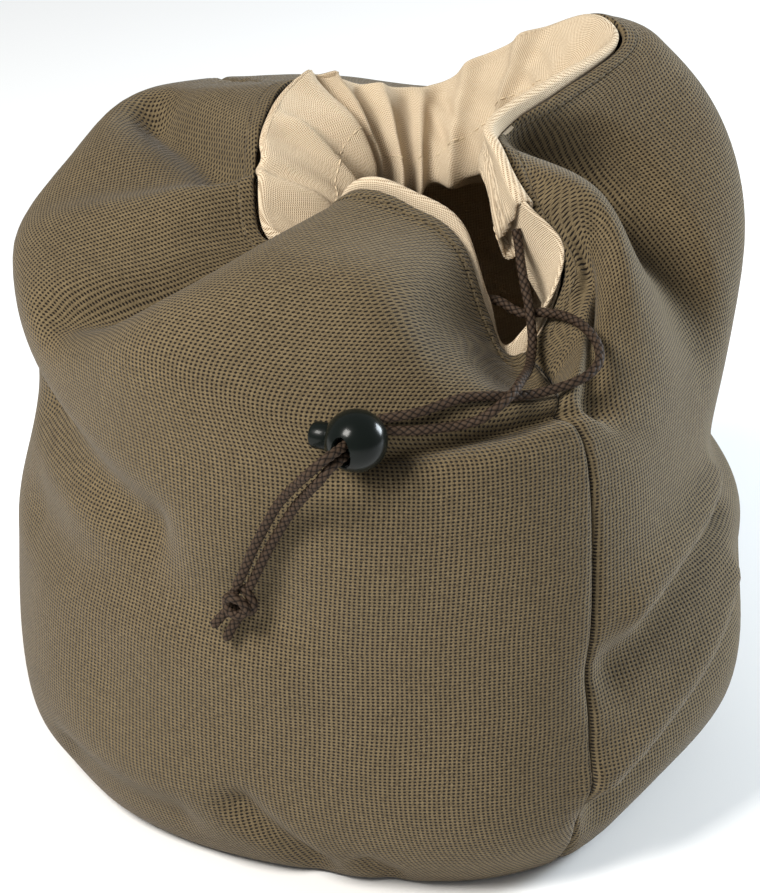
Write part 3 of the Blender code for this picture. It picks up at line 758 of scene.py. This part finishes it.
def net_through(rings, levels, shares, heights):
    """A smooth net in mm through rings given at the folds: rows go by height, columns go round."""
    fine = np.stack([hermite(FOLD_PLACES, ring, shares, 1.0) for ring in rings])
    return hermite(levels, fine, heights)


def net(shares, heights):
    """The smooth outer face in mm, before its creases."""
    rings = wall_rings(FOLD_PLACES) + fold_rings(2, 3, 4)
    return net_through(rings, RING_PLACES, shares, heights)


def crease_depth(creases, shares, heights):
    """How far the creases press the cloth inwards at each point of the grid, in mm."""
    depth = np.zeros((len(heights), len(shares)))
    for _, start, end, half_width, most in creases:
        first = np.array([around(start[0]) * CREASE_GIRTH, start[1] * CLOTH_HEIGHT])
        run = np.array([around(end[0]) * CREASE_GIRTH, end[1] * CLOTH_HEIGHT]) - first
        for turn in (-1, 0, 1):
            x = (np.asarray(shares)[None, :] + turn) * CREASE_GIRTH - first[0]
            y = np.asarray(heights)[:, None] * CLOTH_HEIGHT - first[1]
            along = np.clip((x * run[0] + y * run[1]) / (run @ run), 0.0, 1.0)
            away = np.hypot(x - along * run[0], y - along * run[1])
            depth += most * np.exp(-((away / half_width) ** 2))
    return depth


def inward(shares, heights, form):
    """The unit normals of a smooth net, pointing into the bag."""
    step = 0.002
    low, high = np.maximum(heights - step, RING_PLACES[0]), np.minimum(heights + step, 1.0)
    left = form(shares + step, heights) - form(shares - step, heights)
    normals = np.cross(left, form(shares, high) - form(shares, low))
    return normals / np.linalg.norm(normals, axis=2, keepdims=True)


def way_in(shares, heights, form=net):
    """The way inwards at each point, averaged over the cloth near it and read from a coarse grid."""
    across = np.linspace(shares[0], shares[-1], COARSE_ACROSS)
    up = np.linspace(0.0, 1.0, COARSE_UP)
    coarse = sum(
        inward(across + aside, np.clip(up + above, 0.0, 1.0), form)
        for aside in SPREAD_ACROSS
        for above in SPREAD_UP
    )
    columns = hermite(across, hermite(up, coarse, heights).swapaxes(0, 1), shares)
    way = columns.swapaxes(0, 1)
    return way / np.linalg.norm(way, axis=2, keepdims=True)


def edge_round(distance, half_thickness):
    """The share of its thickness that cloth has near a folded edge: 0 at the fold, then 1."""
    return np.sqrt(1.0 - (1.0 - np.clip(distance / half_thickness, 0.0, 1.0)) ** 2)


def row_lengths(points, reference):
    """Distances along each row of a grid, from the reference column."""
    steps = np.linalg.norm(np.diff(points, axis=1), axis=2)
    lengths = np.concatenate([np.zeros((len(points), 1)), np.cumsum(steps, axis=1)], axis=1)
    return lengths - lengths[:, reference : reference + 1]


def from_ends(lengths):
    """Distances along each row of a grid from the nearer of its two ends."""
    return np.minimum(lengths - lengths[:, :1], lengths[:, -1:] - lengths)


def column_lengths(points):
    """Distances up each column of a grid."""
    steps = np.linalg.norm(np.diff(points, axis=0), axis=2)
    return np.concatenate([np.zeros((1, points.shape[1])), np.cumsum(steps, axis=0)])


def shell(outer, inner, lengths):
    """A sheet of cloth with thickness: up an outer grid, over the rim and down an inner grid."""
    points = np.concatenate([outer, inner[-2::-1]])
    body = shaped_grid(points * MM, np.concatenate([lengths, lengths[-2::-1]]) * MM)
    close_shell(body)
    return body


def ripples(across, up):
    """Small uneven waves in the cloth, in mm, at lengths in mm."""
    return (
        0.30 * np.sin(across / 9.1 + 1.7 * np.sin(up / 31.0)) * np.sin(up / 17.0 + 0.8)
        + 0.35 * np.sin(across / 21.0 - up / 14.0 + 2.1)
        + 0.25 * np.sin(across / 13.0 + up / 19.0 + np.sin(across / 37.0))
    )


def panel(name, first, last, reference, look, slot):
    """One outer panel, with hem, curled seam edges and soft puckers; gives it and its outer face."""
    gap = 0.5 * SEAM_GAP / CREASE_GIRTH
    start, end = first + gap, last - gap
    edge = np.array(PANEL_EDGE) / CREASE_GIRTH
    inset = PANEL_EDGE_WIDTH / CREASE_GIRTH
    middle = np.linspace(start + inset, end - inset, PANEL_COLUMNS)
    shares = np.concatenate([start + edge, middle, end - edge[::-1]])
    heights = np.concatenate([np.linspace(*rows) for rows in PANEL_ROWS])
    base = net(shares, heights)
    across = row_lengths(base, int(np.argmin(np.abs(shares - reference))))
    up = column_lengths(base)
    from_seam = from_ends(across)
    from_rim = up[-1] - up
    hem = 0.5 - 0.5 * np.tanh((from_rim - HEM_WIDTH) / HEM_BLEND)
    centre = PLAIN_HALF_THICKNESS + (HEM_CENTRE - PLAIN_HALF_THICKNESS) * hem
    half = PLAIN_HALF_THICKNESS + (HEM_HALF_THICKNESS - PLAIN_HALF_THICKNESS) * hem
    half = half * np.minimum(edge_round(from_seam, SEAM_EDGE_ROUND), edge_round(up, FOOT_ROUND))
    half = half * edge_round(from_rim, HEM_HALF_THICKNESS)
    from_groove = (from_rim - HEM_WIDTH + STITCH_GROOVE_IN_HEM) / STITCH_GROOVE_WIDTH
    centre = centre + STITCH_GROOVE * np.exp(-(from_groove**2))
    centre = centre + SEAM_CURL * np.clip(1.0 - from_seam / SEAM_CURL_WIDTH, 0.0, 1.0) ** 2
    pucker = np.sin(2 * math.pi * up / SEAM_PUCKER_LENGTH) * np.exp(-from_seam / SEAM_PUCKER_WIDTH)
    hem_wave = np.sin(across / 3.3 + 1.5 * np.sin(across / 9.0))
    pucker += HEM_PUCKER * hem_wave * np.exp(-from_rim / HEM_PUCKER_WIDTH) * hem
    still = np.clip(up / STILL_ABOVE_FLOOR, 0.0, 1.0) * np.clip(from_seam / STILL_BY_SEAM, 0.0, 1.0)
    centre = centre + SEAM_PUCKER * pucker * still + ripples(across, up) * still
    way = way_in(shares, heights)
    depth = crease_depth(CREASES, shares, heights) + centre
    faces = []
    for side in (-half, half):
        points = base + way * (depth + side)[..., None]
        points[..., 2] = np.maximum(points[..., 2], 0.0)
        faces.append(points)
    made = dressed(name, shell(*faces, np.stack([across, up], axis=2)), look)
    return made, faces[0]


def pinhole(place, width):
    """A soft dip between two neighbouring yarns: 1 in the middle of the gap, 0 on the yarns."""
    from_gap = (place.maths("FRACT") - 0.5).maths("ABSOLUTE") * -2.0 + 1.0
    return (from_gap * (1 / width)).maths("MINIMUM", 1.0) * -1.0 + 1.0


def weave_finish(name, yarn_across, yarn_up, light, dark, gap, **more):
    """Plain weave of slubby yarns, a small hole of painted shade between every four crossings."""
    finish = Finish(name, Roughness=0.85, Specular_IOR_Level=0.2, **more)
    across, up = finish.lengths()
    place = finish.place()
    sway = finish.noise(place, 55.0, 3.0) - 0.5
    x = across * (1 / yarn_across) + sway
    y = up * (1 / yarn_up) - sway * 1.2
    over, _, _ = yarn_crossing(x, y)
    warp, weft = hump(x.maths("FRACT")), hump(y.maths("FRACT"))
    under = 1.0 - over
    warp_height = warp * (YARN_HEIGHT + (over * YARN_OVER - under * YARN_UNDER) * weft)
    weft_height = weft * (YARN_HEIGHT + (under * YARN_OVER - over * YARN_UNDER) * warp)
    height = warp_height.maths("MAXIMUM", weft_height)
    slub = finish.noise(finish.vector(x * 0.9, y * 0.9, 0.5), 1.0, 2.0)
    fibres = finish.noise(place, 2600.0, 3.0, 0.7)
    patch = finish.noise(place, 28.0, 3.0)
    tone = finish.ramp(slub * 0.35 + fibres * 0.65, (0.25, 0.0), (0.72, 1.0))
    # Darker down the yarn flanks by yarn height, as painted shade; the patches are random tone
    yarn = finish.shade(finish.mix(tone, dark, light), height * 0.35 + patch * 0.3 + 0.5)
    # The holes take the gap colour, which is painted shade
    hole = pinhole(x, PINHOLE_WIDTH) * pinhole(y, PINHOLE_WIDTH)
    open_share = finish.ramp(hole + (slub - 0.5) * 0.16, (0.06, 0.0), (0.29, 1.0))
    finish.feed("Base Color", finish.mix(open_share, yarn, gap))
    finish.bump(height - hole * 0.8 + fibres * 0.2, WEAVE_BUMP, 0.7)
    return finish.material


outer_yarns = (YARN_ACROSS, YARN_UP, YARN_LIGHT, YARN_DARK, YARN_GAP_SHADE)
soft_cloth = {"Sheen_Weight": 0.10, "Sheen_Roughness": 0.45}
front_span = (0.0, around(BACK_SEAM), around(FRONT_WEAVE_FROM))
front_look = weave_finish("front_weave", *outer_yarns, **soft_cloth)
front, front_face = panel("front_panel_cloth", *front_span, front_look, "front_cloth")
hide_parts("front_panel")
back_span = (around(BACK_SEAM), 1.0, around(BACK_WEAVE_FROM))
back_look = weave_finish("back_weave", *outer_yarns, **soft_cloth)
back, back_face = panel("back_panel_cloth", *back_span, back_look, "back_cloth")
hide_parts("back_panel")

# Base
# One flat round of the same coarse cloth. The two side panels are sewn to it all round, and the bag
# rests on it.


def base_finish():
    """The outer weave read straight from above, since the base lies flat."""
    finish = Finish("base_weave", Roughness=0.88, Specular_IOR_Level=0.25)
    parts = finish.node("ShaderNodeSeparateXYZ", inputs={0: finish.place()})
    x = parts * (1 / YARN_ACROSS)
    y = Signal(finish, parts.socket.node.outputs[1]) * (1 / YARN_UP)
    height = hump(x.maths("FRACT")).maths("MAXIMUM", hump(y.maths("FRACT")))
    tone = finish.noise(finish.place(), 40.0, 3.0)
    # Between the yarns the colour is painted shade
    filled = finish.ramp(height, (0.2, 0.0), (0.6, 1.0))
    yarn = finish.mix(tone, YARN_DARK, YARN_LIGHT)
    finish.feed("Base Color", finish.mix(filled, YARN_GAP_SHADE, yarn))
    finish.bump(height, WEAVE_BUMP, 0.8)
    return finish.material


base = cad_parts["base_panel"]
base.data.materials.clear()
base.data.materials.append(base_finish())

# Lining
# A second bag of fine cream cotton inside the first, sewn to it along the rim. It lies on the outer
# cloth up to the shoulder, and inside the mouth it hangs loose in pleats of its own.
LINING_INSET = 2.5
RIM_INSET = 0.3
LINING_HALF_THICKNESS = 0.3
LINING_COLUMNS = 330
LINING_ROWS = ((0.0, 0.65, 44), (0.66, 0.992, 52))
CREAM_YARN = 0.62 * MM
CREAM_LIGHT = (0.80, 0.68, 0.50)
CREAM_DARK = (0.66, 0.52, 0.36)
# Painted shade in the holes between the cream yarns
CREAM_GAP_SHADE = (0.40, 0.28, 0.17)

# Height shares between which the lining parts from the outer cloth
LINING_PARTS = (0.67, 0.76)

# Height share from which the cream cloth closes up to the rim, and the share it takes for that
CLOSES_FROM = 0.93
LINING_CLOSES_OVER = 0.06
CASING_CLOSES_OVER = 0.07

# name, start azimuth and height share, end azimuth and height share, half width, depth
PLEATS = (
    ("pleat at the roll", (-98.0, 1.0), (-98.0, 0.90), 9.0, 3.0),
    ("left pleat", (-128.0, 1.0), (-124.0, 0.88), 11.0, 6.0),
    ("back pleat", (-168.0, 1.0), (-164.0, 0.86), 11.0, 7.0),
    ("back right pleat", (-205.0, 1.0), (-200.0, 0.88), 10.0, 4.0),
    ("left lobe fold", (-112.0, 0.97), (-106.0, 0.88), 5.0, 4.0),
    ("ear fold", (-143.0, 1.0), (-139.0, 0.87), 5.0, 6.0),
    ("back middle fold", (-186.0, 0.99), (-181.0, 0.87), 6.0, 4.5),
    ("peak fold", (-224.0, 1.0), (-228.0, 0.88), 6.0, 4.5),
)


def curtain_net(shares, heights):
    """The smooth net of the lining inside the mouth: shoulder, foot of the casing and rim, in mm."""
    return net_through(fold_rings(2, 5, 4), RING_PLACES[-3:], shares, heights)


def hanging(shares, heights, rows_past=0):
    """Points in mm and ways inwards of cloth that lies on the outer cloth, then hangs in the mouth.

    Rows past the rim stand as far up as the fold table says.
    """
    low, high = LINING_PARTS
    left = np.clip((heights - low) / (high - low), 0.0, 1.0)
    loose = (left * left * (3.0 - 2.0 * left))[:, None, None]
    points, ways = 0.0, 0.0
    for share, form, creases in (
        (1.0 - loose, net, CREASES + PLEATS),
        (loose, curtain_net, PLEATS),
    ):
        way = way_in(shares, heights, form)
        depth = crease_depth(creases, shares, heights)[..., None]
        points = points + share * (form(shares, heights) + way * depth)
        ways = ways + share * way
    stand = hermite(FOLD_PLACES, *fold_rings(6), shares, 1.0)
    up = points[-1] - points[-2]
    up = up / np.linalg.norm(up, axis=1, keepdims=True) * stand[:, None]
    beyond = np.linspace(0.0, 1.0, rows_past + 1)[1:, None, None]
    points = np.concatenate([points, points[-1] + up * beyond])
    ways = np.concatenate([ways, ways[-1:].repeat(rows_past, axis=0)])
    return points, ways


lining_shares = np.linspace(0.0, 1.0, LINING_COLUMNS)
lining_heights = np.concatenate([np.linspace(*rows) for rows in LINING_ROWS])
lining_base, lining_way = hanging(lining_shares, lining_heights)
lining_across = row_lengths(lining_base, LINING_COLUMNS // 2)
lining_up = column_lengths(lining_base)
near_rim = np.clip((lining_heights - CLOSES_FROM) / LINING_CLOSES_OVER, 0.0, 1.0)
lining_inset = LINING_INSET + (RIM_INSET - LINING_INSET) * near_rim[:, None, None]
lining_faces = []
for side in (0.0, 2 * LINING_HALF_THICKNESS):
    points = lining_base + lining_way * (lining_inset + side)
    points[..., 2] = np.maximum(points[..., 2], LINING_INSET + side)
    lining_faces.append(points)
lining_faces[0][-1] = lining_faces[1][-1] = (lining_faces[0][-1] + lining_faces[1][-1]) / 2
lining_body = shell(*lining_faces, np.stack([lining_across, lining_up], axis=2))
cream_yarns = (CREAM_YARN, CREAM_YARN, CREAM_LIGHT, CREAM_DARK, CREAM_GAP_SHADE)
lining_look = weave_finish("lining_weave", *cream_yarns)
lining = dressed("lining_cloth", lining_body, lining_look)
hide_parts("lining")

# Casing
# A strip of the cream cotton folded into a flat tunnel round the mouth and stitched down on the
# lining. Its two ends stay open at the notch, where the cord comes out.
CASING_ENDS = (15.0, -314.0)
CASING_INSET = 2.3
CASING_RIM_INSET = 0.9
CASING_WALL = 0.7
CASING_HALF_DEPTH = 1.7
CASING_EDGE_ROUND = 1.7
CASING_END_DEPTH = 2.7
CASING_END_LENGTH = 14.0
CASING_PUFF = 1.1
CASING_GATHER = 0.75
CASING_COLUMNS = 300
CASING_ROWS = 34
CASING_ROWS_PAST = 8
CASING_SEAM_UP = 0.87

casing_shares = np.linspace(around(CASING_ENDS[0]), around(CASING_ENDS[1]), CASING_COLUMNS)
casing_heights = np.linspace(CASING_SEAM_UP, 1.0, CASING_ROWS)
band, band_way = hanging(casing_shares, casing_heights, CASING_ROWS_PAST)
band_across = row_lengths(band, CASING_COLUMNS // 2)
band_up = column_lengths(band)
opening = np.clip(1.0 - from_ends(band_across) / CASING_END_LENGTH, 0.0, 1.0)
half_depth = CASING_HALF_DEPTH + (CASING_END_DEPTH - CASING_HALF_DEPTH) * opening
from_edge = np.minimum(band_up, band_up[-1] - band_up)
edges = edge_round(from_edge, CASING_EDGE_ROUND)
belly = np.sin(math.pi * band_up / band_up[-1])
gathers = np.sin(band_across / 2.6 + 1.8 * np.sin(band_across / 7.3) + 0.25 * band_up) * belly
swell = CASING_PUFF * belly * (0.7 + 0.3 * np.sin(band_across / 11.0)) + CASING_GATHER * gathers
band_rise = np.concatenate([casing_heights, np.ones(CASING_ROWS_PAST)])[:, None]
to_rim = np.clip((band_rise - CLOSES_FROM) / CASING_CLOSES_OVER, 0.0, 1.0)
band_middle = CASING_HALF_DEPTH + CASING_INSET + (CASING_RIM_INSET - CASING_INSET) * to_rim
tunnel_outer = band + band_way * (band_middle - half_depth * edges)[..., None]
tunnel_inner = band + band_way * (band_middle + half_depth * edges + swell)[..., None]
tunnel_points = np.concatenate([tunnel_outer, tunnel_inner[-2::-1]])
up_and_over = np.stack([band_across, band_up], axis=2)
down_inside = np.stack([band_across, 2 * band_up[-1] - band_up], axis=2)
tunnel_lengths = np.concatenate([up_and_over, down_inside[-2::-1]])
casing_body = shaped_grid(tunnel_points * MM, tunnel_lengths * MM)
bmesh.ops.remove_doubles(casing_body, verts=casing_body.verts, dist=WELD)
bmesh.ops.reverse_faces(casing_body, faces=casing_body.faces)
casing_look = weave_finish("casing_weave", *cream_yarns)
casing = dressed("drawcord_casing_cloth", casing_body, casing_look)
wall = casing.modifiers.new("cloth", "SOLIDIFY")
wall.thickness = CASING_WALL * MM
wall.offset = -1.0
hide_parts("drawcord_casing")

# Stitches
# Lines of short stitches in cotton thread hold the hem of the outer cloth down and close the casing
# along its lower edge.
STITCH_PITCH = 3.0
STITCH_SIZE = (1.15 * MM, 0.30 * MM, 0.24 * MM)
THREAD_ROUGHNESS = 0.8
HEM_STITCHES_DOWN = 5.6
CASING_STITCHES_UP = 2.0
OLIVE_THREAD = (0.10, 0.075, 0.042, 1.0)
CREAM_THREAD = (0.62, 0.50, 0.34, 1.0)


def sewn_line(name, face, from_top, colour):
    """Sew a row of short stitches on a face, a distance in mm below its top edge."""
    lengths = column_lengths(face)
    places = lengths[-1] - from_top
    columns = range(face.shape[1])
    line = np.array([hermite(lengths[:, k], face[:, k], places[k : k + 1])[0] for k in columns])
    along = distances(line)
    body = bmesh.new()
    for middle in np.arange(STITCH_PITCH, along[-1] - STITCH_PITCH, STITCH_PITCH):
        back, here, ahead = hermite(along, line, middle + np.array([-0.5, 0.0, 0.5])) * MM
        turn = Vector(ahead - back).to_track_quat("X", "Z").to_matrix().to_4x4()
        matrix = Matrix.Translation(here) @ turn @ Matrix.Diagonal((*STITCH_SIZE, 1.0))
        bmesh.ops.create_icosphere(body, subdivisions=2, radius=1.0, matrix=matrix)
    thread = Finish(name + "_thread", Base_Color=colour, Roughness=THREAD_ROUGHNESS)
    dressed(name, body, thread.material)


sewn_line("front_hem_stitches", front_face, HEM_STITCHES_DOWN, OLIVE_THREAD)
sewn_line("back_hem_stitches", back_face, HEM_STITCHES_DOWN, OLIVE_THREAD)
casing_top = column_lengths(tunnel_inner)[-1].min() - CASING_STITCHES_UP
sewn_line("casing_stitches", tunnel_inner, casing_top, CREAM_THREAD)

# Lining edge in the notch
# Between the two ends of the casing the cream cotton of the lining has only its own edge. It is
# turned over once and stands free inside the olive hem.
NOTCH_EDGE = (12.0, -311.0)
NOTCH_EDGE_FROM = 0.90
NOTCH_COLUMNS = 60
NOTCH_ROWS = 20
NOTCH_ROWS_PAST = 10
NOTCH_HALF_THICKNESS = 0.8
NOTCH_INSET = 2.8

edge_shares = np.linspace(around(NOTCH_EDGE[1]) - 1.0, around(NOTCH_EDGE[0]), NOTCH_COLUMNS)
edge_heights = np.linspace(NOTCH_EDGE_FROM, 1.0, NOTCH_ROWS)
edge_base, edge_way = hanging(edge_shares, edge_heights, NOTCH_ROWS_PAST)
edge_across = row_lengths(edge_base, NOTCH_COLUMNS // 2)
edge_up = column_lengths(edge_base)
from_fold = np.minimum(edge_up, edge_up[-1] - edge_up)
edge_half = NOTCH_HALF_THICKNESS * edge_round(from_fold, NOTCH_HALF_THICKNESS)
edge_half = edge_half * edge_round(from_ends(edge_across), NOTCH_HALF_THICKNESS)
edge_depths = (NOTCH_INSET - edge_half, NOTCH_INSET + edge_half)
edge_faces = [edge_base + edge_way * depth[..., None] for depth in edge_depths]
edge_body = shell(*edge_faces, np.stack([edge_across, edge_up], axis=2))
edge_look = weave_finish("edge_weave", *cream_yarns)
dressed("lining_edge_in_notch", edge_body, edge_look)

# Studio
# A pale floor that runs far behind the bag, a large soft light from the upper left, a cool one that
# rims the right side, and white all round, which the standard view transform keeps white.
FLOOR_SIZE = 4.0
FLOOR_DROP = 0.0002
FLOOR_COLOUR = (0.96, 0.96, 0.96, 1.0)
FLOOR_ROUGHNESS = 0.9
KEY = {"place": (-0.62, -0.62, 1.0), "size": 0.42, "power": 20.0, "colour": (1.0, 0.97, 0.92)}
RIM = {"place": (0.95, 0.40, 0.45), "size": 0.40, "power": 16.0, "colour": (0.84, 0.93, 1.0)}
SURROUND = 0.34
WHITE = (1.0, 1.0, 1.0, 1.0)

floor_body = bmesh.new()
bmesh.ops.create_grid(floor_body, x_segments=1, y_segments=1, size=FLOOR_SIZE / 2)
bmesh.ops.translate(floor_body, verts=floor_body.verts, vec=(0.0, 0.0, -FLOOR_DROP))
floor = mesh_object("floor", floor_body)
floor_finish = Finish("pale_floor", Base_Color=FLOOR_COLOUR, Roughness=FLOOR_ROUGHNESS)
floor.data.materials.append(floor_finish.material)


def softbox(name, place, size, power, colour):
    """A square area light that looks at the bag."""
    light = bpy.data.lights.new(name, "AREA")
    light.size = size
    light.energy = power
    light.color = colour
    made = bpy.data.objects.new(name, light)
    bpy.context.scene.collection.objects.link(made)
    made.location = place
    made.rotation_euler = (VIEW_CENTRE - Vector(place)).to_track_quat("-Z", "Y").to_euler()


softbox("key_light", **KEY)
softbox("rim_light", **RIM)
world = bpy.data.worlds.new("white_surround")
world.use_nodes = True
surround = world.node_tree.nodes["Background"]
surround.inputs["Color"].default_value = WHITE
surround.inputs["Strength"].default_value = SURROUND
bpy.context.scene.world = world
bpy.context.scene.view_settings.view_transform = "Standard"
